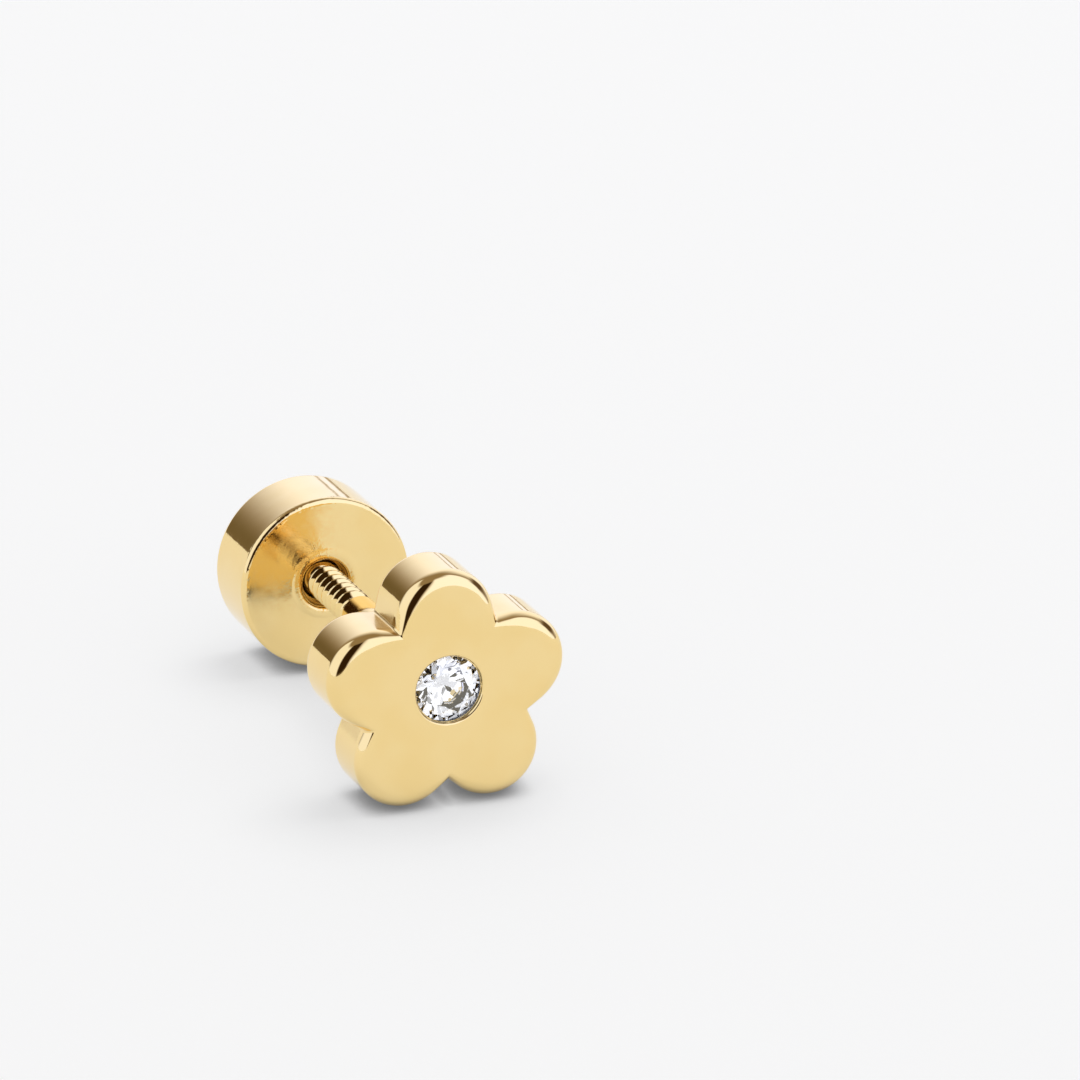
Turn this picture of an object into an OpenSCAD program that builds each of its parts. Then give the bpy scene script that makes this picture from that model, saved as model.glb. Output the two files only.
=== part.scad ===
// Stud earring with a five-petal flower head and a screw back,
// lying on a table on two petals and the rim of its back.
// X runs across the flower, Y from the flower to the back, Z up. Millimetres.

/* [Flower] */
// Distance from the flower's centre to each petal's centre
petal_reach = 1.85; // [1.75:0.01:1.95]
// Radius of each round petal
petal_r = 1.21; // [1.18:0.01:1.35]
// Thickness of the flower
flower_t = 1.8; // [1.5:0.05:2.4]
// Rounding of the front edge
face_round = 0.35; // [0.2:0.01:0.45]
// Rounding of the back edge
rear_round = 0.18; // [0.08:0.01:0.25]
// How far the flat face stops short of the notch between two petals
notch_gap = 0.1; // [0.09:0.01:0.15]

/* [Stone] */
// Diameter of the stone at its girdle
stone_d = 1.7; // [1.4:0.05:1.8]
// Table diameter as a share of the stone's diameter
table_share = 0.56; // [0.5:0.01:0.62]
// Height of the crown
crown_h = 0.26; // [0.22:0.01:0.3]
// Depth of the pavilion
pavilion_h = 0.72; // [0.65:0.01:0.76]
// Thickness of the girdle
girdle_h = 0.04; // [0.03:0.01:0.06]
// Room between the stone and its seat
seat_gap = 0.025; // [0.02:0.005:0.04]
// How far the stone sits above the flower's middle, towards the upper petal
stone_rise = 0.15; // [0:0.01:0.2]

/* [Post] */
// Diameter of the smooth shank
shank_d = 0.9; // [0.8:0.02:1]
// Length of the smooth shank, from the flower's back
shank_len = 4.5; // [4:0.05:5.4]
// Outer diameter of the thread
thread_d = 0.84; // [0.76:0.02:0.86]
// Depth of the thread
thread_depth = 0.09; // [0.05:0.01:0.11]
// Pitch of the thread
pitch = 0.32; // [0.2:0.01:0.35]
// Length of the whole post, from the flower's back
post_len = 7.6; // [7.2:0.05:7.8]
// Outer radius of the solder bead at the flower
bead_r = 0.66; // [0.58:0.01:0.75]

/* [Screw back] */
// Diameter of the disc
back_d = 4.34; // [4:0.02:5]
// Thickness of the disc
back_t = 2; // [1.95:0.05:2.4]
// Rounding of the disc's edges
back_round = 0.13; // [0.08:0.01:0.2]
// Radius of the hole's mouth
mouth_r = 0.64; // [0.6:0.01:0.72]
// Room around the thread in the hole
thread_gap = 0.05; // [0.03:0.01:0.08]
// Depth of the hole
hole_depth = 1.7; // [1.65:0.01:1.72]
// Height of the raised lip round the hole
lip_h = 0.06; // [0.04:0.01:0.1]

/* [Rest] */
// Room for the ear between the flower and the disc as it lies
ear_gap = 6.8; // [6.4:0.05:6.9]

/* [Hidden] */
$fn = 96;

petals = 5;
step = 360 / petals;
notch_r = petal_reach * cos(step / 2)
        + sqrt(pow(petal_r, 2) - pow(petal_reach * sin(step / 2), 2));
flat_r = petal_r - face_round;
join_overlap = 0.05;
join_r = flat_r - join_overlap;

// Seat of the stone, measured down from the face
stone_r = stone_d / 2;
rim_r = stone_r - 0.02;
rim_bevel = 0.09;
rim_h = 0.04;
undercut = 0.05;
seat_r = stone_r + seat_gap;
girdle_z = flower_t - crown_h;
culet_z = girdle_z - girdle_h - pavilion_h;
seat_floor = 0.08;
seat_tip_r = 0.12;

// Post and thread
shank_r = shank_d / 2;
thread_r = thread_d / 2;
root_r = thread_r - thread_depth;
shoulder = 0.06;
bead_w = 0.2;
turn_rings = 6;
thread_sides = 18;
thread_top = -shank_len + 0.05;
tip_chamfer = 0.1;
thread_rings = ceil((post_len - tip_chamfer + thread_top) / pitch * turn_rings);
ring_h = (post_len - tip_chamfer + thread_top) / thread_rings;
fade = turn_rings / 2;

// Screw back
back_r = back_d / 2;
bore_r = thread_r + thread_gap;
sink_depth = 0.16;
drill_tip = 0.12;
lip_r = 0.17;
lip_centre = mouth_r + lip_r;

// How it lies: two petals' rear edges and the disc's outer rim touch the table
low_petal = petal_reach * cos(step / 2) + petal_r;
reach = ear_gap + back_t - back_round + rear_round;
drop = low_petal - back_r - rear_round + back_round;
tilt = atan2(drop, reach) + asin((rear_round - back_round) / norm([reach, drop]));
lift = (low_petal - rear_round) * cos(tilt) - rear_round * sin(tilt) + rear_round;

// Ends of the earring along Y, which put the origin under its middle
front_y = -(flower_t - face_round) * cos(tilt) - (low_petal - face_round) * sin(tilt) - face_round;
rear_y = (ear_gap + back_t - back_round) * cos(tilt) + (back_r - back_round) * sin(tilt) + back_round;

// Stands what is drawn with the flower's face at +Z in its place on the table
module lying() {
    translate([0, -(front_y + rear_y) / 2, lift])
        rotate([-tilt, 0, 0])
            rotate([90, 0, 0])
                children();
}

// Half outline of one petal: a round-edged puck
module petal_outline() {
    square([flat_r, flower_t]);
    square([petal_r - rear_round, flower_t / 2]);
    translate([0, rear_round])
        square([petal_r, flower_t - face_round - rear_round]);
    translate([flat_r, flower_t - face_round])
        circle(face_round);
    translate([petal_r - rear_round, rear_round])
        circle(rear_round);
}

// Where the flat's edge leaves the notch and runs in under petal k's flat
function notch_point(k, side) = (notch_r - notch_gap)
    * [cos(90 + step * (k + side / 2)), sin(90 + step * (k + side / 2))];
function petal_centre(k) = petal_reach * [cos(90 + step * k), sin(90 + step * k)];
function touch_point(k, side) = let (
    away = notch_point(k, side) - petal_centre(k),
    turn = atan2(away[1], away[0]) - side * acos(join_r / norm(away))
) petal_centre(k) + join_r * [cos(turn), sin(turn)];

// Flat middle that joins the petals and runs out to the notches
module flower_core() {
    outline = [for (k = [0 : petals - 1])
        each [touch_point(k, -1), petal_centre(k), touch_point(k, 1), notch_point(k, 1)]];
    linear_extrude(flower_t)
        polygon(outline);
}

// Half outline of the blind seat, undercut below the burnished rim
module seat_outline() {
    face = flower_t;
    low = girdle_z - girdle_h - 0.03;
    polygon([
        [0, face + 1],
        [rim_r + rim_bevel, face + 1],
        [rim_r + rim_bevel, face],
        [rim_r, face - rim_bevel],
        [rim_r, face - rim_bevel - rim_h],
        [seat_r, face - rim_bevel - rim_h - undercut],
        [seat_r, low],
        [seat_tip_r, culet_z - seat_floor],
        [0, culet_z - seat_floor]
    ]);
}

module flower() {
    difference() {
        union() {
            for (k = [0 : petals - 1])
                translate([petal_centre(k)[0], petal_centre(k)[1], 0])
                    rotate_extrude()
                        petal_outline();
            flower_core();
        }
        translate([0, stone_rise, 0])
            rotate_extrude()
                seat_outline();
    }
}

// Thread radius on ring i at side j: one helix that fades in and out
function thread_rise(i) = max(0, min(1, i / fade, (thread_rings - i) / fade));
function helix_r(i, j) = root_r + thread_depth * thread_rise(i)
    * (1 + cos(360 * (i * ring_h / pitch - j / thread_sides))) / 2;
function ring_point(r, j, z) =
    [r * cos(360 * j / thread_sides), r * sin(360 * j / thread_sides), z];

module thread() {
    m = thread_sides;
    n = thread_rings;
    side_points = [for (i = [0 : n], j = [0 : m - 1])
        ring_point(helix_r(i, j), j, thread_top - i * ring_h)];
    tip_points = [for (j = [0 : m - 1]) ring_point(root_r - tip_chamfer, j, -post_len)];
    top_face = [[for (j = [m - 1 : -1 : 0]) j]];
    tip_face = [[for (j = [0 : m - 1]) (n + 1) * m + j]];
    side_faces = [for (i = [0 : n], j = [0 : m - 1])
        let (a = i * m + j, b = i * m + (j + 1) % m)
        each [[a, b, b + m], [a, b + m, a + m]]];
    polyhedron(concat(side_points, tip_points), concat(top_face, side_faces, tip_face));
}

module post() {
    translate([0, 0, -shank_len + shoulder])
        cylinder(h = shank_len - shoulder + flower_t / 4, r = shank_r);
    translate([0, 0, -shank_len])
        cylinder(h = shoulder, r1 = root_r + thread_depth / 2, r2 = shank_r);
    thread();
    rotate_extrude() {
        translate([bead_r - bead_w, -bead_w])
            circle(bead_w);
        translate([0, -2 * bead_w])
            square([bead_r - bead_w, 2 * bead_w]);
        translate([0, -bead_w])
            square([bead_r, 2 * bead_w]);
    }
}

module flower_post() {
    color("gold")
        lying() {
            flower();
            post();
        }
}

// Round brilliant with its table at the flower's face
module brilliant() {
    table_r = table_share * stone_r;
    star_r = 0.5 * (stone_r + table_r);
    lower_r = 0.24 * stone_r;
    crown_slope = crown_h / (stone_r - table_r);
    star_z = flower_t - crown_slope * (star_r * cos(22.5) - table_r);
    low_z = girdle_z - girdle_h;
    lower_z = culet_z + (low_z - culet_z) / stone_r * lower_r * cos(22.5);
    tabletop = [for (k = [0 : 7]) table_r * [cos(45 * k), sin(45 * k)]];
    points = concat(
        [for (p = tabletop) [p[0], p[1], flower_t]],
        [for (k = [0 : 7]) [star_r * cos(45 * k + 22.5), star_r * sin(45 * k + 22.5), star_z]],
        [for (k = [0 : 15]) [stone_r * cos(22.5 * k), stone_r * sin(22.5 * k), girdle_z]],
        [for (k = [0 : 15]) [stone_r * cos(22.5 * k), stone_r * sin(22.5 * k), low_z]],
        [for (k = [0 : 7]) [lower_r * cos(45 * k + 22.5), lower_r * sin(45 * k + 22.5), lower_z]],
        [[0, 0, culet_z]]
    );
    star = 8;
    upper = 16;
    under = 32;
    lower = 48;
    culet = 56;
    faces = concat(
        [[for (k = [7 : -1 : 0]) k]],
        [for (k = [0 : 7]) let (n = (k + 1) % 8, p = (k + 7) % 8, g = upper + 2 * k) each [
            [k, n, star + k],
            [k, star + k, g, star + p],
            [star + k, g + 1, g],
            [star + k, upper + (2 * k + 2) % 16, g + 1]
        ]],
        [for (k = [0 : 15]) let (n = (k + 1) % 16)
            [upper + k, upper + n, under + n, under + k]],
        [for (k = [0 : 7]) let (p = (k + 7) % 8, g = under + 2 * k) each [
            [g, lower + k, culet, lower + p],
            [g, g + 1, lower + k],
            [g + 1, under + (2 * k + 2) % 16, lower + k]
        ]]
    );
    polyhedron(points, faces);
}

module stone() {
    color("white")
        lying()
            translate([0, stone_rise, 0])
                brilliant();
}

// Half outline of the disc, drawn from its inner face down
module back_outline() {
    translate([0, -back_t])
        square([back_r - back_round, back_t]);
    translate([0, -back_t + back_round])
        square([back_r, back_t - 2 * back_round]);
    for (z = [-back_round, -back_t + back_round])
        translate([back_r - back_round, z])
            circle(back_round);
    translate([lip_centre, lip_h - lip_r])
        circle(lip_r);
}

// Half outline of the blind hole, with a countersunk mouth
module hole_outline() {
    polygon([
        [0, 1],
        [mouth_r, 1],
        [mouth_r, -0.02],
        [bore_r, -sink_depth],
        [bore_r, -hole_depth],
        [0, -hole_depth - drill_tip]
    ]);
}

module screw_back() {
    color("gold")
        lying()
            translate([0, 0, -ear_gap])
                rotate_extrude()
                    difference() {
                        back_outline();
                        hole_outline();
                    }
}

flower_post();
stone();
screw_back();
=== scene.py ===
import math

import bmesh
import bpy
from mathutils import Matrix, Vector


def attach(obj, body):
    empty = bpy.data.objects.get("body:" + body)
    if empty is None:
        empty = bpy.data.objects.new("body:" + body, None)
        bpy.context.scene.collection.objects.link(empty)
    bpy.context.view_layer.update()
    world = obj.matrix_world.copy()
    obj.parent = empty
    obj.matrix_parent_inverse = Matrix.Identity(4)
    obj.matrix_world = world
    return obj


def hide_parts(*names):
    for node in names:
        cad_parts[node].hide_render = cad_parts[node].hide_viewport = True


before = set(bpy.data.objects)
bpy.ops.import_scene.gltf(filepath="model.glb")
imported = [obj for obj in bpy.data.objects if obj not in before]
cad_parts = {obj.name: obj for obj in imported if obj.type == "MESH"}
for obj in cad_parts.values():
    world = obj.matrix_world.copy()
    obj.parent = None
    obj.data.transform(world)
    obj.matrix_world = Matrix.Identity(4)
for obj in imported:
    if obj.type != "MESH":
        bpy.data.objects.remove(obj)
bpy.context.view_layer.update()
print("frame loaded:", ", ".join(sorted(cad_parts)))

# Every piece is shaped upright in millimetres, the flower's face up and the post along Z,
# and is laid on the table in metres when it is finished.
lying = {
    "tilt": 3.4708719,                        # degrees the post dips towards its back
    "flowerBack": (0.0, -3.48379, 2.69115),   # where the post leaves the flower, in mm
    "earGap": 6.8,                            # from the flower's back to the disc, in mm
}
layDown = (
    Matrix.Scale(0.001, 4)
    @ Matrix.Translation(lying["flowerBack"])
    @ Matrix.Rotation(math.radians(90 - lying["tilt"]), 4, "X")
)


# Small helpers for shaping by hand.

def clearSelection():
    if bpy.context.object and bpy.context.object.mode == "EDIT":
        bpy.ops.object.mode_set(mode="OBJECT")
    bpy.ops.object.select_all(action="DESELECT")


def pickFaces(test):
    bpy.ops.mesh.select_mode(type="FACE")
    bpy.ops.mesh.select_all(action="DESELECT")
    mesh = bmesh.from_edit_mesh(bpy.context.object.data)
    for face in mesh.faces:
        if test(face):
            face.select_set(True)
    mesh.select_flush_mode()
    bmesh.update_edit_mesh(bpy.context.object.data)


def putRing(points):
    # the selected cap's corners go to the points, in the order they already have
    mesh = bmesh.from_edit_mesh(bpy.context.object.data)
    cap = next(f for f in mesh.faces if f.select)
    corners = [v for v in cap.verts]
    first = min(range(len(corners)), key=lambda i: (corners[i].co - ringStart[0]).length)
    corners = corners[first:] + corners[:first]
    if (corners[1].co - ringStart[1]).length > (corners[-1].co - ringStart[1]).length:
        corners = corners[:1] + corners[:0:-1]
    for corner, point in zip(corners, points):
        corner.co = point
    ringStart[0], ringStart[1] = Vector(points[0]), Vector(points[1])
    bmesh.update_edit_mesh(bpy.context.object.data)


ringStart = [Vector(), Vector()]   # where the first two corners of the last ring are


def growRing(points):
    bpy.ops.mesh.extrude_region_move()
    putRing(points)


def growRound(last, new):
    # a round step of the selected cap, from (radius, level) to (radius, level)
    bpy.ops.mesh.extrude_region_move(TRANSFORM_OT_translate={"value": (0, 0, new[1] - last[1])})
    size = new[0] / last[0]
    bpy.ops.transform.resize(value=(size, size, 1), center_override=(0, 0, 0))


def startCap(sides, radius, level):
    clearSelection()
    bpy.ops.mesh.primitive_circle_add(vertices=sides, radius=radius, fill_type="NGON",
                                      location=(0, 0, level))
    bpy.ops.object.transform_apply(location=True)
    bpy.ops.object.mode_set(mode="EDIT")
    bpy.ops.mesh.select_mode(type="FACE")
    bpy.ops.mesh.select_all(action="SELECT")
    cap = bmesh.from_edit_mesh(bpy.context.object.data).faces[:][0]
    ringStart[0], ringStart[1] = [v.co.copy() for v in cap.verts[:][:2]]
    return bpy.context.object


def circlePoints(radius, height, angles):
    return [Vector((radius * math.cos(a), radius * math.sin(a), height)) for a in angles]


def towards(angle):
    return Vector((math.cos(angle), math.sin(angle), 0))


def quarterTurn(steps):
    return [math.pi / 2 * k / steps for k in range(steps + 1)]


def smoothStep(x):
    x = min(1.0, max(0.0, x))
    return x * x * (3 - 2 * x)


def finishPiece(piece, name, body, angle):
    clearSelection()
    piece.name = piece.data.name = name
    piece.data.transform(layDown)
    piece.select_set(True)
    bpy.context.view_layer.objects.active = piece
    bpy.ops.object.mode_set(mode="EDIT")
    bpy.ops.mesh.select_all(action="SELECT")
    bpy.ops.mesh.normals_make_consistent(inside=False)
    bpy.ops.object.mode_set(mode="OBJECT")
    bpy.ops.object.shade_smooth_by_angle(angle=math.radians(angle))
    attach(piece, body)
    piece.select_set(False)
    print(name, "made:", len(piece.data.polygons), "faces")


# The camera stands where the photo was taken from.

view = {
    "place": (-0.0679693, -0.1846617, 0.086166),   # metres
    "turn": (67.52357, -0.83814, -21.02369),       # degrees
    "lens": 295.8536,                              # lens and sensor in mm
    "sensor": 36,
    "clip": (0.01, 20),
}


def makeCamera():
    lens = bpy.data.cameras.new("camera")
    lens.lens = view["lens"]
    lens.sensor_width = view["sensor"]
    lens.clip_start, lens.clip_end = view["clip"]
    camera = bpy.data.objects.new("camera", lens)
    bpy.context.scene.collection.objects.link(camera)
    camera.location = view["place"]
    camera.rotation_euler = [math.radians(a) for a in view["turn"]]
    bpy.context.scene.camera = camera


makeCamera()
print("camera placed")


# Helpers for materials. Sizes and depths are in millimetres.

def newMaterial(name):
    material = bpy.data.materials.new(name)
    material.use_nodes = True
    return material, material.node_tree, material.node_tree.nodes["Principled BSDF"]


def feed(tree, socket, value):
    # a value is another node's output or a plain number, vector or colour
    if isinstance(value, bpy.types.NodeSocket):
        tree.links.new(value, socket)
    elif value is not None:
        socket.default_value = value


def calc(tree, operation, *values):
    node = tree.nodes.new("ShaderNodeMath")
    node.operation = operation
    for socket, value in zip(node.inputs, values):
        feed(tree, socket, value)
    return node.outputs[0]


def vectorCalc(tree, operation, *values, out="Vector"):
    node = tree.nodes.new("ShaderNodeVectorMath")
    node.operation = operation
    for socket, value in zip(node.inputs, values):
        feed(tree, socket, value)
    return node.outputs[out]


def between(tree, value, low, high, atLow, atHigh):
    # a smooth step from atLow to atHigh
    node = tree.nodes.new("ShaderNodeMapRange")
    node.interpolation_type = "SMOOTHSTEP"
    for name, number in zip(("Value", "From Min", "From Max", "To Min", "To Max"),
                            (value, low, high, atLow, atHigh)):
        feed(tree, node.inputs[name], number)
    return node.outputs["Result"]


def window(tree, value, rise, fall):
    # 1 between two soft bounds and 0 outside them
    return calc(tree, "MULTIPLY", between(tree, value, *rise, 0.0, 1.0),
                between(tree, value, *fall, 1.0, 0.0))


def speckle(tree, place, size, detail=2.0, rough=0.5, stretch=(1, 1, 1)):
    # noise whose features are about this size
    node = tree.nodes.new("ShaderNodeTexNoise")
    mapping = tree.nodes.new("ShaderNodeMapping")
    mapping.inputs["Scale"].default_value = [part * 1000 / size for part in stretch]
    tree.links.new(place, mapping.inputs["Vector"])
    tree.links.new(mapping.outputs["Vector"], node.inputs["Vector"])
    node.inputs["Scale"].default_value = 1.0
    node.inputs["Detail"].default_value = detail
    node.inputs["Roughness"].default_value = rough
    return node.outputs["Fac"]


def blendColour(tree, share, first, second):
    node = tree.nodes.new("ShaderNodeMix")
    node.data_type = "RGBA"
    feed(tree, node.inputs[0], share)
    feed(tree, node.inputs[6], first)
    feed(tree, node.inputs[7], second)
    return node.outputs[2]


def bump(tree, height, depth, normal=None):
    # depth is the rise from height 0 to height 1
    node = tree.nodes.new("ShaderNodeBump")
    node.inputs["Distance"].default_value = depth * 0.001
    feed(tree, node.inputs["Height"], height)
    feed(tree, node.inputs["Normal"], normal)
    return node.outputs["Normal"]


def alongPost(tree, place, height):
    # distance along the post from a height on it, and distance from its middle line
    point = layDown @ Vector((0, 0, height))
    line = (layDown.to_3x3() @ Vector((0, 0, 1))).normalized()
    offset = vectorCalc(tree, "SUBTRACT", place, tuple(point))
    along = vectorCalc(tree, "DOT_PRODUCT", offset, tuple(line), out="Value")
    drop = vectorCalc(tree, "SCALE", tuple(line))
    feed(tree, drop.node.inputs["Scale"], along)
    out = vectorCalc(tree, "LENGTH", vectorCalc(tree, "SUBTRACT", offset, drop), out="Value")
    return calc(tree, "MULTIPLY", along, 1000.0), calc(tree, "MULTIPLY", out, 1000.0)


goldLook = {
    "colour": (0.93, 0.708, 0.33, 1.0),
    "deeper": (0.915, 0.685, 0.30, 1.0),   # where the plating is a little thicker
    "toneSize": 1.3,
    "toneRange": (0.35, 0.65),
    "haze": (0.035, 0.07),   # roughness, least and most
    "hazeSize": 0.35,
    "hazeRange": (0.35, 0.7),
    "waveSize": 0.45,        # soft unevenness left by polishing
    "waveDepth": 0.0016,
    "scratchSize": 0.03,
    "scratchStretch": (0.05, 0.7, 1.0),
    "scratchDepth": 0.00012,
}


def makeGold(name):
    material, tree, shader = newMaterial(name)
    place = tree.nodes.new("ShaderNodeTexCoord").outputs["Object"]
    tone = speckle(tree, place, goldLook["toneSize"])
    tone = between(tree, tone, *goldLook["toneRange"], 0.0, 1.0)
    tree.links.new(blendColour(tree, tone, goldLook["colour"], goldLook["deeper"]),
                   shader.inputs["Base Color"])
    shader.inputs["Metallic"].default_value = 1.0
    haze = speckle(tree, place, goldLook["hazeSize"], 4.0, 0.6)
    haze = between(tree, haze, *goldLook["hazeRange"], *goldLook["haze"])
    normal = bump(tree, speckle(tree, place, goldLook["waveSize"], 1.0), goldLook["waveDepth"])
    scratch = speckle(tree, place, goldLook["scratchSize"], 1.0, 0.5, goldLook["scratchStretch"])
    normal = bump(tree, scratch, goldLook["scratchDepth"], normal)
    return material, tree, shader, place, haze, normal


flowerFinish = {
    "brushSize": 0.05,       # faint lines across the flower's face
    "brushStretch": (0.02, 1.0, 1.0),
    "brushDepth": 0.00035,
    "faceHaze": 0.06,        # extra roughness of the face
    "faceTilt": (0.985, 0.999),        # how straight the surface faces forwards there
    "paintedReflectionWhite": (0.90, 0.90, 0.91, 1.0),   # painted reflection: under the stone the seat is near-white, so the stone shows white and not gold
    "whiteSeatHaze": 0.3,
    "notchHaze": 0.2,        # the polishing wheel doesn't reach into the notches
    # Soft bounds of these places: heights from a level just below the stone's girdle,
    # and distances from the post's middle line.
    "level": 1.6,
    "seatFloor": (-1.1, -1.0),
    "seatTop": (-0.05, 0.0),
    "seatReach": (1.1, 1.2),
    "notchTop": (-0.3, -0.2),
    "notchInner": (1.95, 2.05),
    "notchOuter": (2.3, 2.6),
}


def makeFlowerGold(look):
    material, tree, shader, place, haze, normal = makeGold("flowerGold")
    forwards = (layDown.to_3x3() @ Vector((0, 0, 1))).normalized()
    facing = tree.nodes.new("ShaderNodeNewGeometry").outputs["Normal"]
    facing = vectorCalc(tree, "DOT_PRODUCT", facing, tuple(forwards), out="Value")
    face = between(tree, facing, *look["faceTilt"], 0.0, 1.0)
    along, out = alongPost(tree, place, look["level"])
    seat = calc(tree, "MULTIPLY", window(tree, along, look["seatFloor"], look["seatTop"]),
                between(tree, out, *look["seatReach"], 1.0, 0.0))
    notch = calc(tree, "MULTIPLY", window(tree, out, look["notchInner"], look["notchOuter"]),
                 between(tree, along, *look["notchTop"], 1.0, 0.0))
    for where, extra in ((face, "faceHaze"), (seat, "whiteSeatHaze"), (notch, "notchHaze")):
        haze = calc(tree, "ADD", haze, calc(tree, "MULTIPLY", where, look[extra]))
    tree.links.new(haze, shader.inputs["Roughness"])
    gold = shader.inputs["Base Color"].links[0].from_socket
    # painted reflection: the seat under the stone is near-white, so the stone shows white and not gold
    tree.links.new(blendColour(tree, seat, gold, look["paintedReflectionWhite"]), shader.inputs["Base Color"])
    brush = speckle(tree, place, look["brushSize"], 2.0, 0.6, look["brushStretch"])
    brush = calc(tree, "MULTIPLY", brush, face)
    tree.links.new(bump(tree, brush, look["brushDepth"], normal), shader.inputs["Normal"])
    return material


backFinish = {
    "hammerSize": 0.17,      # small dents round the hole
    "hammerDepth": 0.006,
    "hammerReach": (0.75, 1.5),
    "patchSize": 1.1,        # the dents come in patches
    "patchRange": (0.42, 0.6),
    "lumpSize": 0.09,        # crumbs on the lip
    "lumpDepth": 0.005,
    "nickSize": 0.3,         # little nicks along the disc's edge
    "nickRange": (0.4, 0.7),
    "nickDepth": 0.004,
    "satin": (0.042, 0.098),   # extra roughness of the disc's front, least and most
    "satinSize": 0.12,
    "satinRange": (0.3, 0.7),
    "rawHole": 0.25,         # extra roughness of the hole
    # Soft bounds of these places: heights from the disc's front, and distances from the
    # post's middle line.
    "frontLevel": (-0.35, -0.1),
    "satinReach": (1.9, 2.03),
    "holeReach": (0.58, 0.63),
    "lipInner": (0.6, 0.66),
    "lipOuter": (0.85, 0.95),
    "edgeInner": (1.98, 2.06),
    "edgeLevel": (-0.2, -0.12),
}


def makeBackGold(look):
    material, tree, shader, place, haze, normal = makeGold("screwBackGold")
    along, out = alongPost(tree, place, -lying["earGap"])
    front = between(tree, along, *look["frontLevel"], 0.0, 1.0)
    satin = speckle(tree, place, look["satinSize"], 3.0, 0.6)
    satin = between(tree, satin, *look["satinRange"], *look["satin"])
    satin = calc(tree, "MULTIPLY", calc(tree, "MULTIPLY", satin, front),
                 between(tree, out, *look["satinReach"], 1.0, 0.0))
    raw = between(tree, out, *look["holeReach"], look["rawHole"], 0.0)
    tree.links.new(calc(tree, "ADD", calc(tree, "ADD", haze, satin), raw), shader.inputs["Roughness"])

    dents = between(tree, out, *look["hammerReach"], 1.0, 0.0)
    patches = speckle(tree, place, look["patchSize"], 1.0)
    patches = between(tree, patches, *look["patchRange"], 0.0, 1.0)
    dents = calc(tree, "MULTIPLY", calc(tree, "MULTIPLY", dents, patches), front)
    dents = calc(tree, "MULTIPLY", speckle(tree, place, look["hammerSize"], 2.0, 0.55), dents)
    normal = bump(tree, dents, look["hammerDepth"], normal)

    lip = calc(tree, "MULTIPLY", window(tree, out, look["lipInner"], look["lipOuter"]), front)
    lumps = calc(tree, "MULTIPLY", speckle(tree, place, look["lumpSize"], 2.0, 0.6), lip)
    normal = bump(tree, lumps, look["lumpDepth"], normal)

    edge = calc(tree, "MULTIPLY", between(tree, out, *look["edgeInner"], 0.0, 1.0),
                between(tree, along, *look["edgeLevel"], 0.0, 1.0))
    nicks = speckle(tree, place, look["nickSize"], 2.0, 0.6)
    nicks = calc(tree, "MULTIPLY", between(tree, nicks, *look["nickRange"], 0.0, 1.0), edge)
    tree.links.new(bump(tree, nicks, look["nickDepth"], normal), shader.inputs["Normal"])
    return material


# Flower head and post, one soldered piece.

flowerPost = {
    "petals": 5,
    "petalReach": 1.85,      # centre of the flower to the centre of a petal
    "petalRadius": 1.21,
    "thickness": 1.8,
    "frontRound": 0.36,
    "rearRound": 0.18,
    "notchReach": 2.15,      # centre of the flower to the corner of a notch
    "notchRadius": 0.07,     # the wall's notches are rounded, the face's are sharp
    "notchInset": 0.17,      # width of the front rounding at a notch
    "notchFade": 1.0,        # distance along the edge over which its full width comes back
    "petalSteps": 30,        # on each side of a petal
    "stepSpread": 1.3,       # above 1 they are closer together near the notch
    "notchSteps": 6,         # on each side of a notch
    "frontSteps": 14,
    "rearSteps": 6,
    "stoneRise": 0.15,       # the seat sits a little above the flower's middle
    "seat": ((0.90, 1.8), (0.88, 1.8), (0.865, 1.795), (0.85, 1.78), (0.82, 1.735), (0.81, 1.715),
             (0.81, 1.70), (0.875, 1.62), (0.875, 1.47), (0.12, 0.7)),
    # seat, bead and shank are rings: radius and height
    "bead": ((0.82, 0.0), (0.76, -0.006), (0.72, -0.025), (0.695, -0.06), (0.68, -0.11), (0.675, -0.17),
             (0.668, -0.23), (0.645, -0.29), (0.60, -0.345), (0.54, -0.38), (0.49, -0.4), (0.45, -0.43)),
    "beadSwell": 0.012,      # the solder isn't quite round
    "beadLength": 0.4,
    "shank": ((0.45, -0.45), (0.45, -4.40), (0.45, -4.42), (0.445, -4.438), (0.425, -4.455), (0.375, -4.5)),
    "threadRadius": 0.45,
    "threadDepth": 0.165,
    "pitch": 0.32,
    "rootFlat": 0.08,        # shares of the pitch that stay flat
    "crestFlat": 0.08,
    "flankCurve": 0.4,       # 0 for straight flanks, 1 for fully curved ones
    "threadFade": 0.6,       # share of the pitch over which the thread starts and ends
    "threadStart": -4.47,
    "threadEnd": -7.5,
    "postEnd": -7.6,
    "tipRound": 0.06,
    "ringsPerTurn": 18,
    "smoothAngle": 50,       # degrees, past which an edge stays sharp
}
support = 0.02   # rings this close to a rounding keep the faces beside it flat


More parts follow.
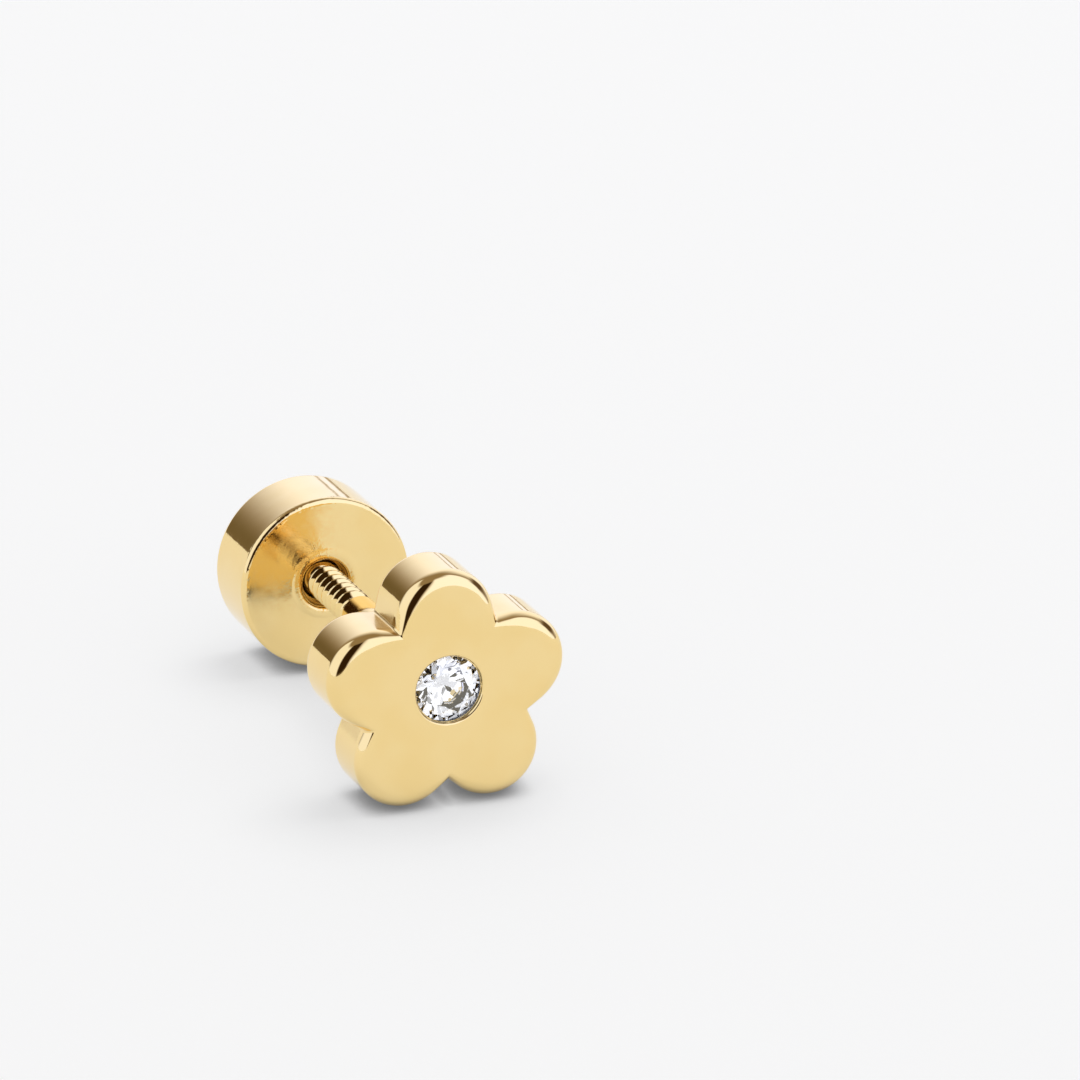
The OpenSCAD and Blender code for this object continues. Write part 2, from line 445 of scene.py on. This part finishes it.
def petalEdge(look):
    # for each point: the wall's outline, its inward direction, the face's outline, its inward direction
    reach, radius, soft = look["petalReach"], look["petalRadius"], look["notchRadius"]
    half = math.pi / look["petals"]
    # from the petal's middle the round edge runs straight on to the notch, where two petals meet
    notch = look["notchReach"] * towards(half) - Vector((reach, 0, 0))
    straight = math.sqrt(notch.length ** 2 - radius ** 2)
    leave = math.atan2(notch.y, notch.x) - math.acos(radius / notch.length)
    opening = half - (leave - math.pi / 2)
    length = straight + radius * leave
    softLength = soft / math.tan(opening)
    softCentre = notch + towards(half) * soft / math.sin(opening)
    mitre = look["notchInset"] / math.tan(opening)

    def petalSide(fromNotch):
        # a place on the petal's edge and the direction out of the petal there
        turn = leave - max(0.0, fromNotch - straight) / radius
        return (radius * towards(turn) + max(0.0, straight - fromNotch) * towards(turn + math.pi / 2),
                towards(turn))

    side = []
    steps = [softLength * k / look["notchSteps"] for k in range(look["notchSteps"])]
    steps += [softLength + (length - softLength) * (k / look["petalSteps"]) ** look["stepSpread"]
              for k in range(look["petalSteps"] + 1)]
    for fromNotch in steps:
        wall, out = petalSide(fromNotch)
        wallInwards = -out
        if fromNotch < softLength:
            bend = (half - leave) * (1 - fromNotch / softLength)
            wallInwards = -towards(leave + bend)
            wall = softCentre + soft * wallInwards
        alongFace = fromNotch * (1 + mitre / length)
        place, faceOut = petalSide(alongFace - mitre)
        share = smoothStep(alongFace / look["notchFade"])
        inset = look["notchInset"] + (look["frontRound"] - look["notchInset"]) * share
        side.append((wall, wallInwards, place - faceOut * inset, -faceOut))
    edge = []
    flip = Matrix.Scale(-1, 4, (0, 1, 0))
    for petal in range(look["petals"]):
        turned = Matrix.Rotation(math.pi / 2 + petal * 2 * half, 4, "Z")
        centre = turned @ Vector((reach, 0, 0))
        for one in [[flip @ v for v in points] for points in side] + side[-2:0:-1]:
            wall, wallInwards, face, inwards = [turned @ v for v in one]
            edge.append((wall + centre, wallInwards, face + centre, inwards))
    return edge


def frontRings(look, edge):
    # the front rounding, from the wall to the face, with a support ring at both ends
    level, depth, steps = look["thickness"], look["frontRound"], look["frontSteps"]
    rings = [[wall + Vector((0, 0, level - depth - support)) for wall, _, _, _ in edge]]
    for angle in quarterTurn(steps):
        height = Vector((0, 0, level - depth * (1 - math.sin(angle))))
        rings.append([wall.lerp(face, 1 - math.cos(angle)) + height for wall, _, face, _ in edge])
    rings.append([face + inwards * support + Vector((0, 0, level)) for _, _, face, inwards in edge])
    return rings


def rearRings(look, edge):
    # the rear rounding, from the flat back to the wall
    depth, steps = look["rearRound"], look["rearSteps"]
    rings = [[wall + inwards * (depth + support) for wall, inwards, _, _ in edge]]
    for angle in quarterTurn(steps):
        height = Vector((0, 0, depth * (1 - math.cos(angle))))
        rings.append([wall + inwards * depth * (1 - math.sin(angle)) + height for wall, inwards, _, _ in edge])
    rings.append([wall + Vector((0, 0, depth + support)) for wall, _, _, _ in edge])
    return rings


def helixRadius(look, angle, height):
    # crest to root along one right-hand helix that fades at both ends
    start, end, fade = look["threadStart"], look["threadEnd"], look["threadFade"] * look["pitch"]
    share = max(0.0, min(1.0, (start - height) / fade, (height - end) / fade))
    turn = ((start - height) / look["pitch"] - angle / (2 * math.pi)) % 1.0
    ridge = abs(2 * turn - 1)
    ridge = min(1.0, max(0.0, (ridge - look["rootFlat"]) / (1 - look["rootFlat"] - look["crestFlat"])))
    wave = (1 - look["flankCurve"]) * ridge + look["flankCurve"] * smoothStep(ridge)
    return look["threadRadius"] - look["threadDepth"] * (1 - share * wave)


def makeFlowerPost(look):
    edge = petalEdge(look)
    angles = [math.atan2(wall.y, wall.x) for wall, _, _, _ in edge]
    rear = rearRings(look, edge)
    front = frontRings(look, edge)
    piece = startCap(len(edge), look["petalReach"], 0.0)
    putRing(rear[0])
    for ring in rear[1:] + front:
        growRing(ring)
    seatCentre = Vector((0, look["stoneRise"], 0))
    for radius, height in look["seat"]:
        growRing([p + seatCentre for p in circlePoints(radius, height, angles)])

    # the bead, shank and thread grow out of the flower's back
    pickFaces(lambda f: len(f.verts) > 4 and abs(f.calc_center_median().z) < 1e-6)
    ringStart[0], ringStart[1] = rear[0][0], rear[0][1]
    for radius, height in look["bead"]:
        swell = look["beadSwell"] * math.sin(math.pi * min(1.0, -height / look["beadLength"]))
        growRing([Vector((radius * math.cos(a), radius * math.sin(a), height))
                  * (1 + swell * (math.sin(2 * a + 0.7) + 0.6 * math.sin(5 * a))) for a in angles])
    for radius, height in look["shank"]:
        growRing(circlePoints(radius, height, angles))
    start = look["shank"][-1][1]
    rings = math.ceil((start - look["threadEnd"]) / look["pitch"] * look["ringsPerTurn"])
    for ring in range(1, rings + 1):
        # the rings turn with the thread, so the mesh runs along its crests
        height = start + (look["threadEnd"] - start) * ring / rings
        twist = 2 * math.pi * (start - height) / look["pitch"]
        growRing([towards(a + twist) * helixRadius(look, a + twist, height) + Vector((0, 0, height))
                  for a in angles])
    tip = look["threadRadius"] - look["threadDepth"] - look["tipRound"]
    growRing(circlePoints(tip, look["postEnd"], [a + twist for a in angles]))
    bpy.ops.object.mode_set(mode="OBJECT")
    piece.data.materials.append(makeFlowerGold(flowerFinish))
    finishPiece(piece, "flowerPost", "head", look["smoothAngle"])
    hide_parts("flower_post")


makeFlowerPost(flowerPost)


# Screw back, a thick disc with a threaded blind hole.

screwBack = {
    "radius": 2.17,
    "thickness": 2.0,
    "rimRound": 0.13,
    "rimSteps": 8,
    "sides": 180,
    "flatEnd": 0.95,         # radius where the flat front meets the lip
    # the raised lip round the hole: radius, height on the side it was pushed up, height opposite
    "lip": ((0.92, 0.0, 0.0), (0.90, 0.002, 0.0), (0.88, 0.008, 0.001), (0.855, 0.020, 0.002),
            (0.825, 0.031, 0.003), (0.79, 0.038, 0.004), (0.75, 0.041, 0.004), (0.71, 0.038, 0.002),
            (0.675, 0.030, -0.001), (0.645, 0.016, -0.006), (0.62, -0.004, -0.018)),
    "lipSide": 215,          # degrees, where the lip is highest
    "sink": ((0.605, -0.04), (0.60, -0.10), (0.595, -0.18), (0.575, -0.24), (0.53, -0.30)),
    "boreRoot": 0.52,        # radius at the roots of the hole's thread
    "boreDepth": 0.04,       # how far its crests stand in
    "threadFade": 0.5,       # share of the pitch over which it starts and ends
    "holeDepth": 1.7,
    "drillTip": 0.12,        # the drill's point went this much deeper
    "drillRadius": 0.05,     # radius there
    "ringsPerTurn": 10,
    "smoothAngle": 50,
}


def makeScrewBack(look):
    inner = -lying["earGap"]
    outer = inner - look["thickness"]
    radius, rim = look["radius"], look["rimRound"]
    piece = startCap(look["sides"], radius - rim - support, outer)
    path = [(radius - rim + rim * math.sin(a), outer + rim - rim * math.cos(a))
            for a in quarterTurn(look["rimSteps"])]
    path += [(radius, outer + rim + support), (radius, inner - rim - support)]
    path += [(radius - rim + rim * math.cos(a), inner - rim + rim * math.sin(a))
             for a in quarterTurn(look["rimSteps"])]
    path += [(radius - rim - support, inner), (look["flatEnd"], inner)]
    last = (radius - rim - support, outer)
    for place in path:
        growRound(last, place)
        last = place

    # the lip and the countersink, higher on one side
    angles = [2 * math.pi * k / look["sides"] for k in range(look["sides"])]
    ringStart[0], ringStart[1] = circlePoints(last[0], last[1], angles[:2])
    side = math.radians(look["lipSide"])
    for radius, high, low in look["lip"]:
        growRing([Vector((radius * math.cos(a), radius * math.sin(a),
                          inner + low + (high - low) * (0.5 + 0.5 * math.cos(a - side)))) for a in angles])
    for radius, depth in look["sink"]:
        growRing(circlePoints(radius, inner + depth, angles))

    # the hole's own thread
    pitch = flowerPost["pitch"]
    fade = look["threadFade"] * pitch
    start, end = inner + depth, inner - look["holeDepth"]
    rings = math.ceil((start - end) / pitch * look["ringsPerTurn"])
    for ring in range(1, rings + 1):
        height = start + (end - start) * ring / rings
        rise = look["boreDepth"] * min(1.0, (start - height) / fade, (height - end) / fade)
        turn = 2 * math.pi * (start - height) / pitch
        growRing([towards(a) * (look["boreRoot"] - rise * (0.5 + 0.5 * math.cos(turn - a)))
                  + Vector((0, 0, height)) for a in angles])
    growRing(circlePoints(look["drillRadius"], end - look["drillTip"], angles))
    bpy.ops.object.mode_set(mode="OBJECT")
    piece.data.materials.append(makeBackGold(backFinish))
    finishPiece(piece, "screwBack", "back", look["smoothAngle"])
    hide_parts("screw_back")


makeScrewBack(screwBack)


# The stone keeps the CAD's facets and gets the look of a clear cut stone.

stoneLook = {
    "ior": 2.42,
    "colour": (1.0, 1.0, 1.0, 1.0),
    "glint": (1.0, 0.94, 0.78, 1.0),   # takes the blue of the gold's light out of its reflections
}


def dressStone(look):
    material, tree, shader = newMaterial("clearStone")
    shader.inputs["Base Color"].default_value = look["colour"]
    shader.inputs["Roughness"].default_value = 0.0
    shader.inputs["IOR"].default_value = look["ior"]
    shader.inputs["Transmission Weight"].default_value = 1.0
    shader.inputs["Specular Tint"].default_value = look["glint"]
    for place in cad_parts["stone"].material_slots:
        place.material = material
    print("stone dressed")


dressStone(stoneLook)


# Floor and light.

studio = {
    "floorSize": 2.4,
    "floorColour": (0.86, 0.86, 0.86, 1.0),
    "floorRough": 0.85,
    "floorShine": 0.1,
    "floorGlow": 0.585,               # the floor is lit a little from below, as on a light table
    "paintedShadowReach": 0.0006,              # and less within this distance of what stands on it, a painted contact shadow
    "paintedShadowRange": (0.1, 0.9),
    "glowLeftInPaintedShadow": 0.2,                  # share of the glow that is left right beside it, where the painted shadow is darkest
    "paintedShadowSamples": 4,
    "skyLight": 0.24,
    "keyPlace": (0.178, 0.103, 0.564),
    "keySize": 0.45,
    "keyPower": 0.62,
    # Panels of a tent: middle azimuth and elevation, half width and half height, softness
    # (all in degrees) and colour. Azimuth 0 is behind the flower, and 90 to its right as the
    # camera sees it.
    "goldTentRadius": 0.8,
    "goldBase": (0.30, 0.235, 0.165),
    "goldPanels": (
        ("left", -78, 27, 43, 31, 5, (1.05, 1.12, 1.40)),
        ("behindRight", 36, 18, 44, 36, 22, (1.15, 1.22, 1.60)),
        ("right", 145, 30, 42, 40, 8, (1.20, 1.30, 1.80)),
        ("cameraGap", -146, 32, 22, 31, 4, (0.03, 0.015, 0.005)),
        ("rightGap", 92, 18, 20, 11, 6, (0.12, 0.08, 0.05)),
        ("rearGap", -30, 6, 12, 12, 12, (0.15, 0.115, 0.06)),
        ("lowSlit", 27, 1.2, 14, 1.2, 1.0, (0.45, 0.36, 0.22)),
        ("highSlit", 26, 7.5, 14, 0.6, 0.9, (0.45, 0.36, 0.22)),
    ),
    "stoneTentRadius": 0.82,
    "stoneBase": (1.4, 1.4, 1.4),
    "stonePanels": (
        ("cameraShade", -156, 26, 9, 8, 1, (0.01, 0.01, 0.01)),
        ("lowShade", 165, 12, 7, 6, 1, (0.02, 0.02, 0.02)),
        ("highShade", 175, 55, 11, 6, 1, (0.02, 0.02, 0.02)),
        ("leftShade", -115, 30, 7, 11, 1, (0.02, 0.02, 0.02)),
        ("rightShade", 125, 30, 7, 11, 1, (0.02, 0.02, 0.02)),
    ),
}


def makeTent(name, radius, base, panels, forStone):
    # a dome of soft panels that only reflections see; the stone has its own, in plain greys
    clearSelection()
    bpy.ops.mesh.primitive_uv_sphere_add(segments=64, ring_count=32, radius=radius)
    tent = bpy.context.object
    tent.name = name
    bpy.ops.object.shade_smooth()
    tent.visible_camera = tent.visible_diffuse = tent.visible_shadow = False
    tent.visible_glossy = not forStone
    tent.visible_transmission = forStone
    material = bpy.data.materials.new(name)
    material.use_nodes = True
    tree = material.node_tree
    tree.nodes.clear()
    place = tree.nodes.new("ShaderNodeTexCoord").outputs["Object"]
    parts = tree.nodes.new("ShaderNodeSeparateXYZ")
    tree.links.new(vectorCalc(tree, "NORMALIZE", place), parts.inputs[0])
    azimuth = calc(tree, "DEGREES", calc(tree, "ARCTAN2", parts.outputs["X"], parts.outputs["Y"]))
    elevation = calc(tree, "DEGREES", calc(tree, "ARCSINE", parts.outputs["Z"]))
    colour = (*base, 1.0)
    for panel, az, el, halfAz, halfEl, soft, shade in panels:
        across = calc(tree, "WRAP", calc(tree, "SUBTRACT", azimuth, az), 180.0, -180.0)
        across = calc(tree, "ABSOLUTE", across)
        across = between(tree, across, halfAz - soft, halfAz + soft, 1.0, 0.0)
        upwards = calc(tree, "ABSOLUTE", calc(tree, "SUBTRACT", elevation, el))
        upwards = between(tree, upwards, halfEl - soft, halfEl + soft, 1.0, 0.0)
        colour = blendColour(tree, calc(tree, "MULTIPLY", across, upwards), colour, (*shade, 1.0))
        colour.node.label = panel
    glow = tree.nodes.new("ShaderNodeEmission")
    tree.links.new(colour, glow.inputs["Color"])
    out = tree.nodes.new("ShaderNodeOutputMaterial")
    tree.links.new(glow.outputs[0], out.inputs["Surface"])
    tent.data.materials.append(material)


def makeStudio():
    clearSelection()
    bpy.ops.mesh.primitive_plane_add(size=studio["floorSize"], location=(0, 0, 0))
    floor = bpy.context.object
    floor.name = "floor"
    material, tree, shader = newMaterial("paleFloor")
    shader.inputs["Base Color"].default_value = studio["floorColour"]
    shader.inputs["Roughness"].default_value = studio["floorRough"]
    shader.inputs["Specular IOR Level"].default_value = studio["floorShine"]
    shader.inputs["Emission Color"].default_value = (1, 1, 1, 1)
    # painted shadow: the floor's glow is dimmed by ambient occlusion beside the pieces that stand on it
    paintedShadowOcclusion = tree.nodes.new("ShaderNodeAmbientOcclusion")
    paintedShadowOcclusion.samples = studio["paintedShadowSamples"]
    paintedShadowOcclusion.inputs["Distance"].default_value = studio["paintedShadowReach"]
    glow = between(tree, paintedShadowOcclusion.outputs["AO"], *studio["paintedShadowRange"],
                   studio["glowLeftInPaintedShadow"] * studio["floorGlow"], studio["floorGlow"])
    tree.links.new(glow, shader.inputs["Emission Strength"])
    floor.data.materials.append(material)
    world = bpy.data.worlds.new("studio")
    world.use_nodes = True
    world.node_tree.nodes["Background"].inputs["Color"].default_value = (1, 1, 1, 1)
    world.node_tree.nodes["Background"].inputs["Strength"].default_value = studio["skyLight"]
    world.cycles_visibility.glossy = False
    world.cycles_visibility.transmission = False
    bpy.context.scene.world = world
    bpy.ops.object.light_add(type="AREA", location=studio["keyPlace"])
    key = bpy.context.object
    key.name = "softKey"
    key.data.shape = "DISK"
    key.data.size = studio["keySize"]
    key.data.energy = studio["keyPower"]
    key.visible_glossy = key.visible_transmission = False
    key.rotation_euler = Vector(key.location).to_track_quat("Z", "Y").to_euler()
    bpy.context.scene.view_settings.view_transform = "Standard"
    bpy.context.scene.cycles.caustics_reflective = False   # no yellow light thrown on the floor
    print("studio made")


makeTent("goldTent", studio["goldTentRadius"], studio["goldBase"], studio["goldPanels"], False)
makeTent("stoneTent", studio["stoneTentRadius"], studio["stoneBase"], studio["stonePanels"], True)
makeStudio()
